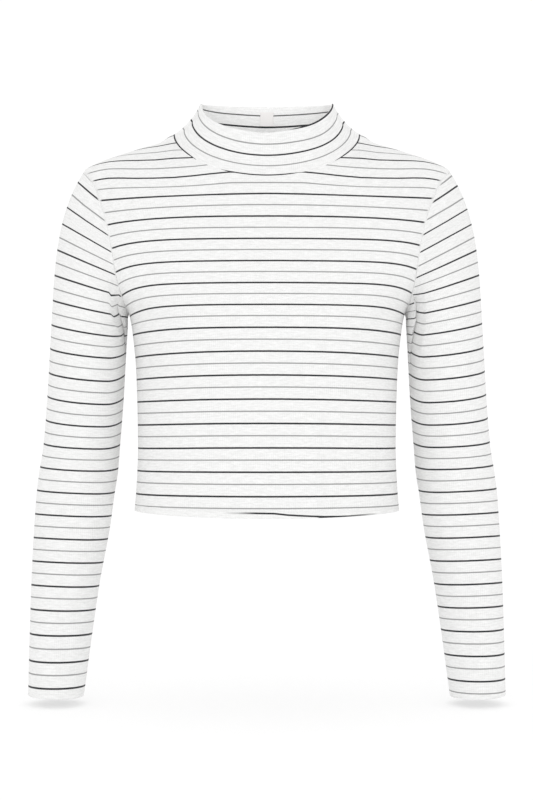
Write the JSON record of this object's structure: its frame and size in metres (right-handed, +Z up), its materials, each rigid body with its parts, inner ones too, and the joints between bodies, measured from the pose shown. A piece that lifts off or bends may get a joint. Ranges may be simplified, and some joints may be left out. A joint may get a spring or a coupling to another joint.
{
  "type": "crop top",
  "caption": "Long-sleeved striped jersey crop top with a folded funnel neck, hollow in its worn shape, open at neck, hem and cuffs.",
  "frame": {"origin": "middle of the neck base, level with the two side neck points from which the garment hangs on the shoulders", "axes": "+Z up, the front faces -Y, and the wearer's left side is at +X"},
  "size_m": [0.5378, 0.2095, 0.6674],
  "materials": {
    "striped_jersey": "matt knitted jersey, white with narrow charcoal and light grey stripes",
    "label_tape": "smooth woven off-white tape, blank"
  },
  "bodies": {
    "root": {"front_panel": "striped_jersey", "back_panel": "striped_jersey", "sleeve_left": "striped_jersey", "sleeve_right": "striped_jersey", "neck_band": "striped_jersey", "neck_label": "label_tape"}
  },
  "joints": []
}
